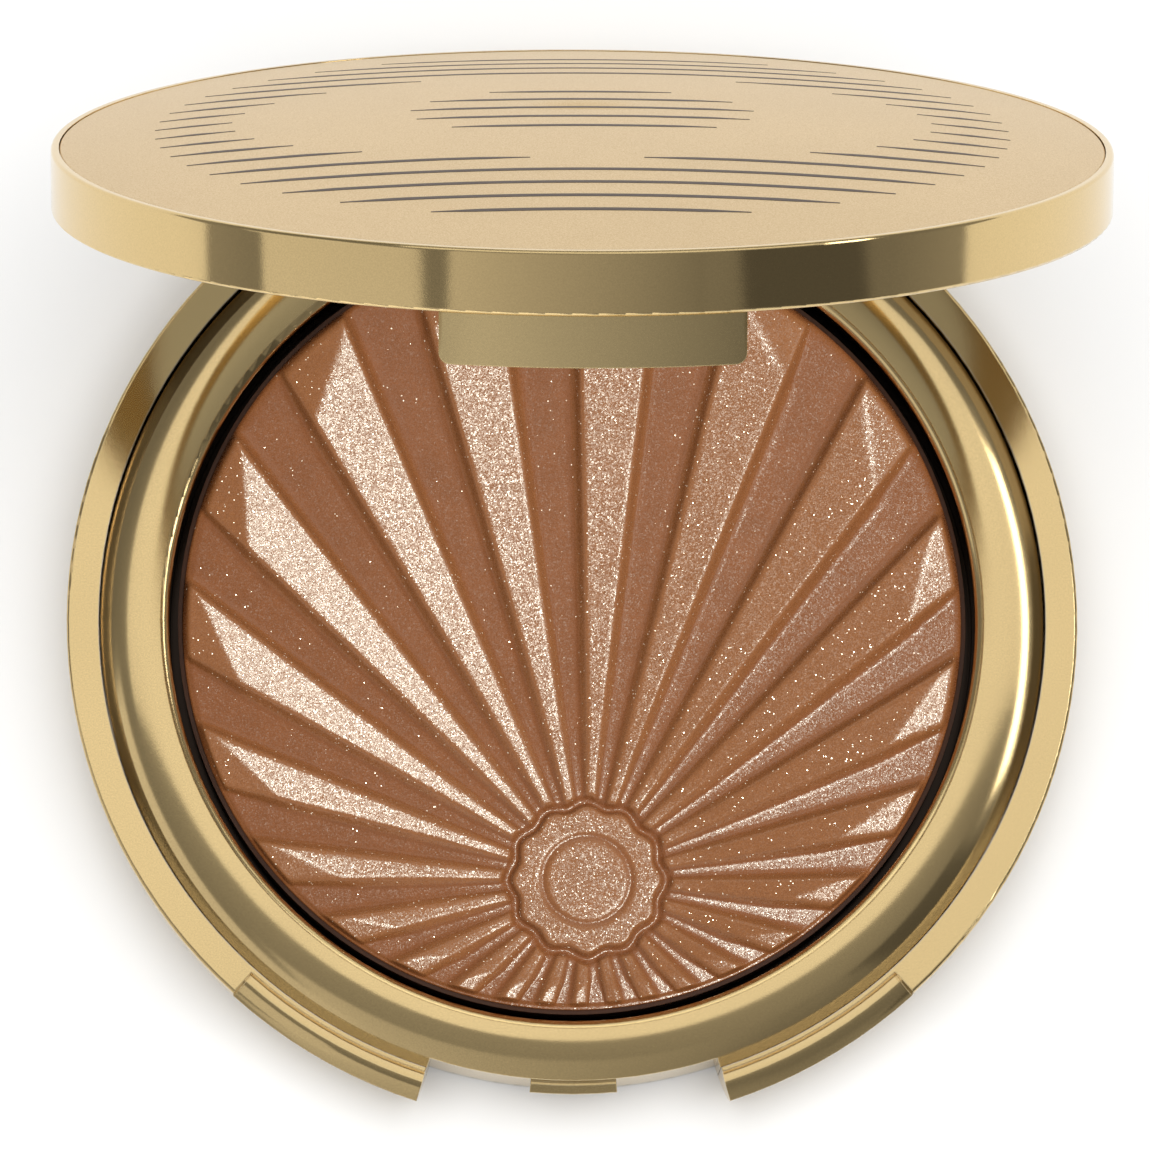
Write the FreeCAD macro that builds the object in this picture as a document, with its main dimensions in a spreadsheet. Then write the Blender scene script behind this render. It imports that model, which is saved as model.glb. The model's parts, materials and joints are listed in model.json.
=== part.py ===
import FreeCAD, Part
import math
import os
import re

import Sketcher

# A round powder compact, standing open on its base. Millimetres, +Z up.
# The origin is the centre of the foot face. The front catch faces -Y and the hinge is at +Y.
# Every lid piece is drawn with the lid shut, then swung open about the hinge pin.

Vector = FreeCAD.Vector

DIMENSIONS = {
    # base shell
    "outer_radius": 40.0,
    "base_height": 8.0,
    "foot_radius": 34.5,
    "base_floor": 1.3,
    "rim_width": 2.55,
    "edge_round": 0.25,
    # front notch and the two finger scoops beside it
    "notch_angle": 36.0,
    "notch_depth": 3.4,
    "scoop_end": 42.0,
    "scoop_radius": 2.75,
    "scoop_out": 0.55,
    "scoop_up": 0.35,
    # general clearances
    "fit_gap": 0.1,
    "side_gap": 0.15,
    "seam_gap": 0.15,
    "running_gap": 0.25,
    # tray with the catch nose
    "tray_floor": 0.9,
    "tray_wall": 1.3,
    "flange_step": 1.75,
    "rib_inner": 31.95,
    "rib_wall": 1.05,
    "rib_height": 4.0,
    "catch_width": 6.9,
    "catch_reach": 0.9,
    "catch_level": 5.0,
    "catch_height": 1.2,
    "catch_root": 0.3,
    "catch_round": 0.25,
    "catch_slope": 0.6,
    # crowned ring round the pan
    "bezel_inner": 31.9,
    "lip_rise": 0.08,
    "lip_round": 0.8,
    "lip_lean": 0.1,
    "bezel_wall": 1.0,
    "bezel_web": 1.1,
    "bezel_drop": 1.15,
    "bezel_crown": 6.2,
    # pan and pressed powder
    "pan_glue": 0.25,
    "pan_radius": 31.25,
    "pan_wall": 0.35,
    "pan_height": 3.45,
    "powder_radius": 30.87,
    "powder_depth": 3.7,
    # hinge
    "hinge_back": 1.2,
    "hinge_height": 7.84,
    "knuckle_radius": 1.9,
    "base_knuckle": 12.0,
    "lid_knuckle": 4.0,
    "pin_radius": 0.75,
    "pin_fit": 0.04,
    "pin_inset": 0.3,
    "pin_chamfer": 0.15,
    "heel_out": 2.45,
    "heel_top": 0.35,
    "heel_base": 2.3,
    "root_inner": 1.8,
    "root_outer": 0.6,
    "root_depth": 4.2,
    # lid shell
    "lid_height": 4.75,
    "lid_crown": 2.7,
    "lid_wall": 1.1,
    "roof_thickness": 1.0,
    "lid_edge": 0.6,
    # satin top plate
    "plate_thickness": 0.6,
    "plate_ledge": 1.2,
    "plate_edge": 0.55,
    "plate_round": 0.1,
    # mirror frame with its latch tab
    "frame_setback": 0.65,
    "frame_depth": 2.35,
    "frame_web": 0.85,
    "frame_chamfer": 0.2,
    "pocket_chamfer": 0.3,
    "lug_overlap": 1.5,
    "lug_gap_overlap": 0.5,
    "mirror_radius": 34.4,
    "mirror_thickness": 1.2,
    "mirror_bevel": 0.25,
    "mirror_pad": 0.25,
    "tab_width": 22.1,
    "tab_inset": 0.8,
    "tab_inner": 37.8,
    "tab_drop": 3.95,
    "tab_rib": 0.2,
    "tab_rib_top": 0.75,
    "tab_neck": 0.05,
    "tab_line": 0.12,
    "tab_root": 0.4,
    "tab_corner": 0.8,
    # how far the lid stands open
    "open_angle": 67.5,
}

# Places worked out from the cells above, written as expressions of them.
SHELL_BORE = "(outer_radius - rim_width)"
TRAY_RADIUS = "(outer_radius - rim_width - fit_gap)"
TRAY_TOP = "(base_height - flange_step)"
TRAY_FLOOR = "(base_floor + tray_floor)"
NOTCH_RADIUS = "(outer_radius - notch_depth)"
RIB_TOP = "(base_floor + tray_floor + rib_height)"
SKIRT_OUTER = "(outer_radius - rim_width - 1.5 * fit_gap - tray_wall)"
PAN_BOTTOM = "(base_floor + tray_floor + pan_glue)"
POWDER_BOTTOM = "(base_floor + tray_floor + pan_glue + pan_wall)"
HINGE_Y = "(outer_radius + hinge_back)"
BARREL_WIDTH = "(base_knuckle + 2 * side_gap + 2 * lid_knuckle)"
LID_BOTTOM = "(base_height + seam_gap)"
LID_TOP = "(base_height + seam_gap + lid_height)"
LEDGE = "(base_height + seam_gap + lid_height - lid_edge)"
LID_BORE = "(outer_radius - lid_wall)"
PLATE_RADIUS = "(outer_radius - lid_edge - 0.5 * fit_gap)"
FRAME_RADIUS = "(outer_radius - lid_wall - fit_gap)"
FRAME_BOTTOM = "(base_height + frame_setback)"
FRAME_TOP = "(base_height + frame_setback + frame_depth)"
POCKET_TOP = "(base_height + frame_setback + frame_depth - frame_web)"
TAB_OUTER = "(outer_radius - tab_inset)"
TAB_BOTTOM = "(base_height + seam_gap - tab_drop)"

FRONT = "-90"
SOUND_STATES = {"Up-to-date", "Touched"}


def make_sheet(doc):
    sheet = doc.addObject("Spreadsheet::Sheet", "Dimensions")
    for row, (alias, value) in enumerate(DIMENSIONS.items(), start=1):
        sheet.set(f"A{row}", alias)
        sheet.set(f"B{row}", str(value))
        sheet.setAlias(f"B{row}", alias)
    doc.recompute()
    return sheet


doc = FreeCAD.newDocument("PowderCompact")
sheet = make_sheet(doc)


def bound(expression):
    """The expression with each name that is a cell of the sheet made a reference to it."""
    return re.sub(
        r"[a-z_]+",
        lambda word: f"Dimensions.{word[0]}" if word[0] in DIMENSIONS else word[0],
        expression,
    )


def size(expression):
    value = sheet.evalExpression(bound(expression))
    return float(getattr(value, "Value", value))


def bind(thing, **properties):
    for name, expression in properties.items():
        thing.setExpression(name, bound(expression))


# ---------- sketches ----------


def new_body(label):
    body = doc.addObject("PartDesign::Body", label)
    body.Label = label
    return body


def new_sketch(body, name, role, facing="0"):
    """A sketch on one of the body's own origin planes, swung about Z to face that angle."""
    plane = next(f for f in body.Origin.OriginFeatures if f.Role == role)
    sketch = body.newObject("Sketcher::SketchObject", f"{body.Label}_{name}_sketch")
    sketch.AttachmentSupport = [(plane, "")]
    sketch.MapMode = "FlatFace"
    about_vertical = FreeCAD.Rotation(Vector(0, 1, 0), size(facing))
    sketch.AttachmentOffset = FreeCAD.Placement(Vector(0, 0, 0), about_vertical)
    if size(facing):
        sketch.setExpression("AttachmentOffset.Rotation.Angle", bound(facing))
    return sketch


def place_point(sketch, name, geometry, point, across, up):
    """Holds a sketch point at its distances from the origin, each bound to an expression."""
    for kind, axis, letter, expression in (
        ("DistanceX", -2, "x", across),
        ("DistanceY", -1, "y", up),
    ):
        if expression is None:
            continue
        if expression == "0":
            sketch.addConstraint(Sketcher.Constraint("PointOnObject", geometry, point, axis))
            continue
        held = Sketcher.Constraint(kind, -1, 1, geometry, point, size(expression))
        index = sketch.addConstraint(held)
        sketch.renameConstraint(index, letter + name)
        sketch.setExpression(f"Constraints.{letter}{name}", bound(expression))


def arc_between(start, end, centre_across, centre_up):
    """An arc from start to end, given one coordinate of its centre (the other is None).
    Also says whether the arc runs from end to start."""
    middle = (start + end) * 0.5
    chord = end - start
    if centre_up is None:
        up = middle.y + (middle.x - centre_across) * chord.x / chord.y
        centre = Vector(centre_across, up, 0)
    else:
        across = middle.x + (middle.y - centre_up) * chord.y / chord.x
        centre = Vector(across, centre_up, 0)
    turns_back = (start - centre).cross(end - centre).z < 0
    first, last = (end, start) if turns_back else (start, end)
    angles = [math.atan2(p.y - centre.y, p.x - centre.x) for p in (first, last)]
    circle = Part.Circle(centre, Vector(0, 0, 1), (start - centre).Length)
    return Part.ArcOfCircle(circle, *angles), turns_back


def draw_outline(sketch, corners):
    """A closed outline. A corner is (across, up); with a third entry {"across": ...} or {"up": ...},
    the edge after it is an arc whose centre has that coordinate."""
    points = [Vector(size(c[0]), size(c[1]), 0) for c in corners]
    ends = []
    for index, corner in enumerate(corners):
        start, end = points[index], points[(index + 1) % len(points)]
        turns_back = False
        if len(corner) == 2:
            edge = Part.LineSegment(start, end)
        else:
            centre = {name: size(text) for name, text in corner[2].items()}
            edge, turns_back = arc_between(start, end, centre.get("across"), centre.get("up"))
        geometry = sketch.addGeometry(edge, False)
        ends.append((geometry, (2, 1) if turns_back else (1, 2)))
    for index, corner in enumerate(corners):
        geometry, (first, last) = ends[index]
        following, (next_first, _) = ends[(index + 1) % len(ends)]
        sketch.addConstraint(
            Sketcher.Constraint("Coincident", geometry, last, following, next_first)
        )
        place_point(sketch, str(index), geometry, first, corner[0], corner[1])
        if len(corner) == 3:
            arc = corner[2]
            place_point(sketch, f"c{index}", geometry, 3, arc.get("across"), arc.get("up"))


def draw_circle(sketch, across, up, radius):
    circle = Part.Circle(Vector(size(across), size(up), 0), Vector(0, 0, 1), size(radius))
    geometry = sketch.addGeometry(circle, False)
    place_point(sketch, "centre", geometry, 3, across, up)
    index = sketch.addConstraint(Sketcher.Constraint("Radius", geometry, size(radius)))
    sketch.renameConstraint(index, "radius")
    sketch.setExpression("Constraints.radius", bound(radius))


def draw(sketch, outline):
    """Draws a list of corners, or a circle given as a dict."""
    if isinstance(outline, dict):
        draw_circle(sketch, **outline)
    else:
        draw_outline(sketch, outline)


# ---------- features ----------


def volume(body):
    return body.Shape.Volume if body.Tip and not body.Shape.isNull() else 0.0


def settle(body, feature, before, cuts):
    """Recomputes, and stops if the feature added nothing, or cut nothing."""
    doc.recompute()
    change = volume(body) - before
    if change * (-1 if cuts else 1) <= 0:
        raise RuntimeError(f"{feature.Label} changed the volume by {change:.3f}")
    return feature


def turn(body, name, outline, sweep="360", facing="0", cuts=False):
    """Turns an outline drawn in the (radius, Z) half-plane about the vertical axis."""
    before = volume(body)
    sketch = new_sketch(body, name, "XZ_Plane", facing)
    draw(sketch, outline)
    kind = "PartDesign::Groove" if cuts else "PartDesign::Revolution"
    feature = body.newObject(kind, f"{body.Label}_{name}")
    feature.Profile = sketch
    feature.ReferenceAxis = (sketch, ["V_Axis"])
    feature.Midplane = True
    bind(feature, Angle=sweep)
    return settle(body, feature, before, cuts)


def extrude_across(body, name, outline, width, cuts=False):
    """Extrudes an outline drawn in the (Y, Z) plane equally to both sides, along X."""
    before = volume(body)
    sketch = new_sketch(body, name, "YZ_Plane")
    draw(sketch, outline)
    kind = "PartDesign::Pocket" if cuts else "PartDesign::Pad"
    feature = body.newObject(kind, f"{body.Label}_{name}")
    feature.Profile = sketch
    feature.Midplane = True
    bind(feature, Length=width)
    return settle(body, feature, before, cuts)


def mirror_across(body, feature):
    """Repeats a feature on the other side of the YZ plane."""
    before = volume(body)
    plane = next(f for f in body.Origin.OriginFeatures if f.Role == "YZ_Plane")
    mirrored = body.newObject("PartDesign::Mirrored", f"{feature.Label}_mirrored")
    mirrored.Originals = [feature]
    mirrored.MirrorPlane = (plane, [""])
    body.Tip = mirrored
    return settle(body, mirrored, before, cuts=feature.TypeId == "PartDesign::Groove")


def round_off(body, name, radius, wanted):
    """Rounds the edges of the body's last feature for which wanted(edge) is true."""
    before, last = volume(body), body.Tip
    edges = [f"Edge{i}" for i, edge in enumerate(last.Shape.Edges, start=1) if wanted(edge)]
    feature = body.newObject("PartDesign::Fillet", f"{body.Label}_{name}")
    feature.Base = (last, edges)
    bind(feature, Radius=radius)
    return settle(body, feature, before, cuts=True)


def rectangle(low_across, high_across, low_up, high_up):
    return [
        (low_across, low_up),
        (high_across, low_up),
        (high_across, high_up),
        (low_across, high_up),
    ]


def hinge_circle(radius):
    return {"across": HINGE_Y, "up": "hinge_height", "radius": radius}


# ---------- base ----------


def make_base_shell():
    """The outer cup: flat foot, rounded lower corner, flat rim, front notch, scoops and hinge knuckle."""
    body = new_body("base_shell")
    corner_top = "outer_radius - foot_radius"
    turn(
        body,
        "cup",
        [
            ("0", "0"),
            ("foot_radius", "0", {"across": "foot_radius"}),
            ("outer_radius", corner_top),
            ("outer_radius", "base_height - edge_round", {"across": "outer_radius - edge_round"}),
            ("outer_radius - edge_round", "base_height"),
            (SHELL_BORE, "base_height"),
            (SHELL_BORE, "base_floor"),
            ("0", "base_floor"),
        ],
    )
    notch = rectangle(NOTCH_RADIUS, "outer_radius + 1", "0", "base_height + 1")
    turn(body, "front_notch", notch, "notch_angle", FRONT, cuts=True)
    cut_finger_scoops(body)
    add_base_knuckle(body)
    return body


def cut_finger_scoops(body):
    """A cove in the rim on each side of the notch. It starts one degree inside the notch."""
    start = "notch_angle / 2 - 1"
    cove = {
        "across": "outer_radius + scoop_out",
        "up": "base_height + scoop_up",
        "radius": "scoop_radius",
    }
    sweep = f"scoop_end - ({start})"
    middle = f"{FRONT} + (scoop_end + {start}) / 2"
    scoop = turn(body, "scoop", cove, sweep, middle, cuts=True)
    mirror_across(body, scoop)


def add_base_knuckle(body):
    """The middle knuckle. The lid opening's top edge comes to rest on its heel."""
    relief = hinge_circle("knuckle_radius + running_gap")
    extrude_across(body, "lug_relief", relief, f"{BARREL_WIDTH} + 2 * side_gap", cuts=True)
    extrude_across(body, "knuckle", hinge_circle("knuckle_radius"), "base_knuckle")
    root = [
        ("outer_radius - root_inner", "hinge_height - root_depth"),
        ("outer_radius - root_outer", "hinge_height - root_depth"),
        (f"{HINGE_Y} + heel_out", "hinge_height - heel_base"),
        (f"{HINGE_Y} + heel_out", "hinge_height - heel_top"),
        (HINGE_Y, "hinge_height - heel_top"),
        (HINGE_Y, "hinge_height"),
        ("outer_radius - root_inner", "hinge_height"),
    ]
    extrude_across(body, "knuckle_root", root, "base_knuckle")
    extrude_across(body, "pin_hole", hinge_circle("pin_radius"), "base_knuckle + 2", cuts=True)


def make_pan_tray():
    """The inner carrier: floor, outer wall that shows in the notch, pan rib, catch nose."""
    body = new_body("pan_tray")
    wall_inner = f"{TRAY_RADIUS} - tray_wall"
    rib_outer = "rib_inner + rib_wall"
    turn(
        body,
        "tray",
        [
            ("0", "base_floor"),
            (TRAY_RADIUS, "base_floor"),
            (TRAY_RADIUS, TRAY_TOP),
            (wall_inner, TRAY_TOP),
            (wall_inner, TRAY_FLOOR),
            (rib_outer, TRAY_FLOOR),
            (rib_outer, RIB_TOP),
            ("rib_inner", RIB_TOP),
            ("rib_inner", TRAY_FLOOR),
            ("0", TRAY_FLOOR),
        ],
    )
    cut_front_notch(body)
    add_catch_nose(body)
    return body


def cut_front_notch(body):
    """The step back at the front, where the shell is open for the latch tab."""
    notch = rectangle(NOTCH_RADIUS, "outer_radius", "0", "base_height")
    turn(body, "front_notch", notch, "notch_angle", FRONT, cuts=True)


def add_catch_nose(body):
    """A nose with a lead-in slope on top, that the latch tab clips under."""
    reach = f"{NOTCH_RADIUS} + catch_reach"
    nose_end = f"{reach} - catch_round"
    nose = [
        (f"{NOTCH_RADIUS} - catch_root", "catch_level"),
        (nose_end, "catch_level", {"across": nose_end}),
        (reach, "catch_level + catch_round"),
        (reach, "catch_level + catch_height / 2"),
        (f"{reach} - catch_slope", "catch_level + catch_height"),
        (f"{NOTCH_RADIUS} - catch_root", "catch_level + catch_height"),
    ]
    sweep = f"2 * asin(catch_width / 2 / ({reach}))"
    turn(body, "catch_nose", nose, sweep, FRONT)


def make_bezel_ring():
    """The crowned ring round the pan: a rounded inner lip, then a broad band that rolls off outwards.
    Its flange covers the tray's wall, and a skirt goes down inside the wall."""
    body = new_body("bezel_ring")
    lip_top = "base_height + lip_rise"
    lip_middle = "bezel_inner + lip_round"
    shelf = "rib_inner + rib_wall + 2 * fit_gap"
    web_bottom = "base_height - bezel_web"
    turn(
        body,
        "ring",
        [
            ("bezel_inner", RIB_TOP),
            ("bezel_inner", f"{lip_top} - lip_round", {"across": lip_middle}),
            (f"{lip_middle} - lip_lean", lip_top, {"up": "base_height - bezel_crown"}),
            (TRAY_RADIUS, "base_height - bezel_drop"),
            (TRAY_RADIUS, TRAY_TOP),
            (SKIRT_OUTER, TRAY_TOP),
            (SKIRT_OUTER, TRAY_FLOOR),
            (f"{SKIRT_OUTER} - bezel_wall", TRAY_FLOOR),
            (f"{SKIRT_OUTER} - bezel_wall", web_bottom),
            (shelf, web_bottom),
            (shelf, RIB_TOP),
        ],
    )
    cut_front_notch(body)
    return body


def make_film(label, radius, bottom, top):
    """A plain disc of double-sided film."""
    body = new_body(label)
    turn(body, "film", rectangle("0", radius, bottom, top))
    return body


def make_powder_pan():
    """A drawn metal pan with a rounded lower corner."""
    body = new_body("powder_pan")
    bend = "2 * pan_wall"
    inner = "pan_radius - pan_wall"
    turn(
        body,
        "pan",
        [
            ("0", PAN_BOTTOM),
            (f"pan_radius - {bend}", PAN_BOTTOM, {"across": f"pan_radius - {bend}"}),
            ("pan_radius", f"{PAN_BOTTOM} + {bend}"),
            ("pan_radius", f"{PAN_BOTTOM} + pan_height"),
            (inner, f"{PAN_BOTTOM} + pan_height"),
            (inner, f"{PAN_BOTTOM} + pan_wall"),
            ("0", f"{PAN_BOTTOM} + pan_wall"),
        ],
    )
    return body


def make_powder_cake():
    """The pressed powder, with its edge broken."""
    body = new_body("powder_cake")
    top = f"{POWDER_BOTTOM} + powder_depth"
    turn(
        body,
        "cake",
        [
            ("0", POWDER_BOTTOM),
            ("powder_radius", POWDER_BOTTOM),
            ("powder_radius", f"{top} - edge_round"),
            ("powder_radius - edge_round", top),
            ("0", top),
        ],
    )
    return body


def make_hinge_pin():
    """A plain steel pin, turned upright and then laid along the hinge axis."""
    body = new_body("hinge_pin")
    length = f"({BARREL_WIDTH} - 2 * pin_inset)"
    turn(
        body,
        "pin",
        [
            ("0", "0"),
            ("pin_radius - pin_chamfer", "0"),
            ("pin_radius", "pin_chamfer"),
            ("pin_radius", f"{length} - pin_chamfer"),
            ("pin_radius - pin_chamfer", length),
            ("0", length),
        ],
    )
    along_x = FreeCAD.Rotation(Vector(0, 1, 0), 90)
    start = Vector(-size(length) / 2, size(HINGE_Y), size("hinge_height"))
    body.Placement = FreeCAD.Placement(start, along_x)
    return body


# ---------- lid, drawn shut ----------


def make_lid_shell():
    """The polished lid wall and the domed roof under the top plate."""
    body = new_body("lid_shell")
    rim_inner = "outer_radius - lid_edge"
    ledge_inner = f"{PLATE_RADIUS} - plate_ledge - fit_gap"
    plate_bottom = f"{LID_TOP} + lid_crown - plate_thickness"
    shoulder = "outer_radius - 2 * lid_wall"
    turn(
        body,
        "shell",
        [
            (LID_BORE, LID_BOTTOM),
            ("outer_radius - edge_round", LID_BOTTOM, {"across": "outer_radius - edge_round"}),
            ("outer_radius", f"{LID_BOTTOM} + edge_round"),
            ("outer_radius", f"{LID_TOP} - edge_round", {"across": "outer_radius - edge_round"}),
            ("outer_radius - edge_round", LID_TOP),
            (rim_inner, LID_TOP),
            (rim_inner, LEDGE),
            (ledge_inner, LEDGE, {"across": "0"}),
            ("0", f"{plate_bottom} - fit_gap"),
            ("0", f"{plate_bottom} - fit_gap - roof_thickness", {"across": "0"}),
            (shoulder, f"{LEDGE} - roof_thickness + fit_gap"),
            (shoulder, FRAME_TOP),
            (LID_BORE, FRAME_TOP),
        ],
    )
    opening = rectangle(
        f"{LID_BORE} - 2",
        "outer_radius + 1",
        "base_height",
        "hinge_height + knuckle_radius + 0.8 * running_gap",
    )
    extrude_across(body, "hinge_opening", opening, f"{BARREL_WIDTH} + 2 * side_gap", cuts=True)
    return body


def make_lid_top_plate():
    """The satin domed disc that sits on the shell's ledge."""
    body = new_body("lid_top_plate")
    crown = f"{LID_TOP} + lid_crown"
    face = f"{LEDGE} + plate_edge"
    turn(
        body,
        "plate",
        [
            (f"{PLATE_RADIUS} - plate_ledge", LEDGE),
            (PLATE_RADIUS, LEDGE),
            (PLATE_RADIUS, f"{face} - plate_round"),
            (f"{PLATE_RADIUS} - plate_round", face, {"across": "0"}),
            ("0", crown),
            ("0", f"{crown} - plate_thickness", {"across": "0"}),
        ],
    )
    return body


def make_lid_frame():
    """The mirror frame: a disc with the mirror's pocket, the latch tab in front and two hinge lugs behind."""
    body = new_body("lid_frame")
    pocket = "mirror_radius + fit_gap"
    turn(
        body,
        "frame",
        [
            ("0", POCKET_TOP),
            (pocket, POCKET_TOP),
            (pocket, f"{FRAME_BOTTOM} + pocket_chamfer"),
            (f"{pocket} + pocket_chamfer", FRAME_BOTTOM),
            (f"{FRAME_RADIUS} - frame_chamfer", FRAME_BOTTOM),
            (FRAME_RADIUS, f"{FRAME_BOTTOM} + frame_chamfer"),
            (FRAME_RADIUS, FRAME_TOP),
            ("0", FRAME_TOP),
        ],
    )
    add_lid_lugs(body)
    add_latch_tab(body)
    return body


def add_lid_lugs(body):
    """One barrel and web across the back, parted in the middle for the base's knuckle."""
    extrude_across(body, "barrel", hinge_circle("knuckle_radius"), BARREL_WIDTH)
    web = rectangle(
        f"{FRAME_RADIUS} - lug_overlap", HINGE_Y, FRAME_BOTTOM, "hinge_height + knuckle_radius"
    )
    extrude_across(body, "web", web, BARREL_WIDTH)
    gap = rectangle(
        f"{FRAME_RADIUS} - lug_gap_overlap",
        f"{HINGE_Y} + knuckle_radius + 1",
        "hinge_height - knuckle_radius - 1",
        FRAME_TOP,
    )
    extrude_across(body, "knuckle_gap", gap, "base_knuckle + 2 * side_gap", cuts=True)
    bore = hinge_circle("pin_radius + pin_fit")
    extrude_across(body, "pin_bore", bore, f"{BARREL_WIDTH} + 1", cuts=True)


def add_latch_tab(body):
    """A curved tab under the front of the frame, with a small rib inside its lower edge."""
    neck = f"{FRAME_RADIUS} - tab_neck"
    shoulder = f"{LID_BOTTOM} - tab_line"
    root = f"{FRAME_BOTTOM} + tab_root"
    rib_top = f"{TAB_BOTTOM} + tab_rib_top"
    rib = "tab_inner - tab_rib"
    tab = [
        ("tab_inner", TAB_BOTTOM),
        (TAB_OUTER, TAB_BOTTOM),
        (TAB_OUTER, shoulder),
        (neck, shoulder),
        (neck, root),
        ("tab_inner", root),
        ("tab_inner", rib_top),
        (rib, f"{rib_top} - tab_rib"),
        (rib, f"{TAB_BOTTOM} + tab_rib"),
    ]
    sweep = f"2 * asin(tab_width / 2 / {TAB_OUTER})"
    turn(body, "latch_tab", tab, sweep, FRONT)
    bottom, half_width = size(TAB_BOTTOM), size("tab_width") / 2

    def is_lower_corner(edge):
        ends = [vertex.Point for vertex in edge.Vertexes]
        on_bottom = all(abs(p.z - bottom) < 0.01 for p in ends)
        beside = all(abs(p.x) > 0.9 * half_width for p in ends)
        return on_bottom and beside and edge.Length < 0.5 * half_width

    round_off(body, "tab_corners", "tab_corner", is_lower_corner)


def make_mirror():
    """The glass, with a fine bevel round its face."""
    body = new_body("mirror")
    back = f"{POCKET_TOP} - mirror_pad"
    face = f"{back} - mirror_thickness"
    turn(
        body,
        "glass",
        [
            ("0", face),
            ("mirror_radius - mirror_bevel", face),
            ("mirror_radius", f"{face} + mirror_bevel"),
            ("mirror_radius", back),
            ("0", back),
        ],
    )
    return body


def swing_open(piece):
    """Turns a piece of the lid about the hinge axis, from shut to where the lid stands."""
    hinge = Vector(0, size(HINGE_Y), size("hinge_height"))
    opening = FreeCAD.Rotation(Vector(-1, 0, 0), size("open_angle"))
    swung = FreeCAD.Placement(Vector(0, 0, 0), opening, hinge)
    piece.Placement = swung.multiply(piece.Placement)


# ---------- the whole object ----------


def check(piece):
    """Stops if a piece is not one or more valid closed solids."""
    shape = piece.Shape
    if shape.isNull() or not shape.isValid() or not shape.Solids:
        raise RuntimeError(f"{piece.Label} has no valid solid")


def build():
    base = [
        make_base_shell(),
        make_pan_tray(),
        make_bezel_ring(),
        make_film("pan_glue", "pan_radius - 2", TRAY_FLOOR, PAN_BOTTOM),
        make_powder_pan(),
        make_powder_cake(),
        make_hinge_pin(),
    ]
    lid = [
        make_lid_shell(),
        make_lid_top_plate(),
        make_lid_frame(),
        make_film("mirror_pad", "mirror_radius - 1", f"{POCKET_TOP} - mirror_pad", POCKET_TOP),
        make_mirror(),
    ]
    doc.recompute()
    for piece in lid:
        swing_open(piece)
    doc.recompute()
    return base + lid


def export(pieces):
    failed = [o.Label for o in doc.Objects if not SOUND_STATES.issuperset(o.State)]
    if failed:
        raise RuntimeError(f"these objects did not recompute: {failed}")
    for piece in pieces:
        check(piece)
    os.makedirs("parts", exist_ok=True)
    for piece in pieces:
        piece.Shape.exportStep(f"parts/{piece.Label}.step")
        print(f"{piece.Label}: {piece.Shape.Volume:.1f} mm3, {len(piece.Shape.Solids)} solid")


export(build())
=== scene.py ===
import json
import math

import bmesh
import bpy
from mathutils import Matrix, Vector
from mathutils.bvhtree import BVHTree


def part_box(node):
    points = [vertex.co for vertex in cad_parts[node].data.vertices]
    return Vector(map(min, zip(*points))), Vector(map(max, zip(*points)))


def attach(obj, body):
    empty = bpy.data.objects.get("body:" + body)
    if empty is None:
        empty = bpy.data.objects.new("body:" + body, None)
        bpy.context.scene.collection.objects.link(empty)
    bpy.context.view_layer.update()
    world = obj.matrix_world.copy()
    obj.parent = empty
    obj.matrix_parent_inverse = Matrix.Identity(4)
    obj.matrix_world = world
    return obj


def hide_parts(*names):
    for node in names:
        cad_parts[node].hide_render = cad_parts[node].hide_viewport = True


# The looks of a round powder compact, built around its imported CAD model. Metres, +Z up.
# The CAD nodes keep their shapes and get their finishes here. Two things are built as meshes:
# the pressed relief of the powder, and the dark lines inlaid in the lid's satin plate.

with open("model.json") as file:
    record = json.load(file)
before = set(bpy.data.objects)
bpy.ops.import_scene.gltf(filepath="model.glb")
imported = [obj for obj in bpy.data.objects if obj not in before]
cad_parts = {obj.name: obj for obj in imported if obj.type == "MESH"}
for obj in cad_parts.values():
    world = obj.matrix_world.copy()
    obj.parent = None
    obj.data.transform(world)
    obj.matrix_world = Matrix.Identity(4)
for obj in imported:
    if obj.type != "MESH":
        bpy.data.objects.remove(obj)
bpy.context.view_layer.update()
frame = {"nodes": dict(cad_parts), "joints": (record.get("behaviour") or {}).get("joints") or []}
NODES = frame["nodes"]
HINGE = frame["joints"][0]
MM = 0.001

# The camera stands almost above the compact, a little in front, and looks at its middle.
CAMERA_AZIMUTH = -7.81
CAMERA_ELEVATION = 81.04
CAMERA_ROLL = 7.735
CAMERA_DISTANCE = 0.7281
CAMERA_AIM = Vector((0.0002, 0.0035, 0.008))
CAMERA_LENS = 287.9
CAMERA_NEAREST = 0.01
SENSOR_WIDTH = 36.0

# Colours are linear, red, green and blue.
WHITE = (1.0, 1.0, 1.0)
KEY_WHITE = (1.0, 0.985, 0.96)
FLOOR_WHITE = (0.92, 0.92, 0.915)
GOLD = (0.745, 0.555, 0.270)
# Painted shade: a darker gold for the lid frame's shaded underside, which the ring mirrors.
FRAME_PAINTED_SHADE = (0.46, 0.31, 0.125)
GOLD_PALE = (0.83, 0.67, 0.40)
GOLD_TAB = (0.81, 0.62, 0.31)
SATIN_GOLD = (0.76, 0.575, 0.325)
SATIN_GOLD_DARK = (0.62, 0.44, 0.22)
# Painted shade: near-black for the tray in the deep gap round the pan.
GAP_PAINTED_SHADE = (0.018, 0.013, 0.010)
# Painted shade: a greyer, darker gold on the bore's wall, in the step between rim and crown.
BORE_PAINTED_SHADE = (0.50, 0.43, 0.33)
LINE_BROWN = (0.095, 0.068, 0.052)
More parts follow.
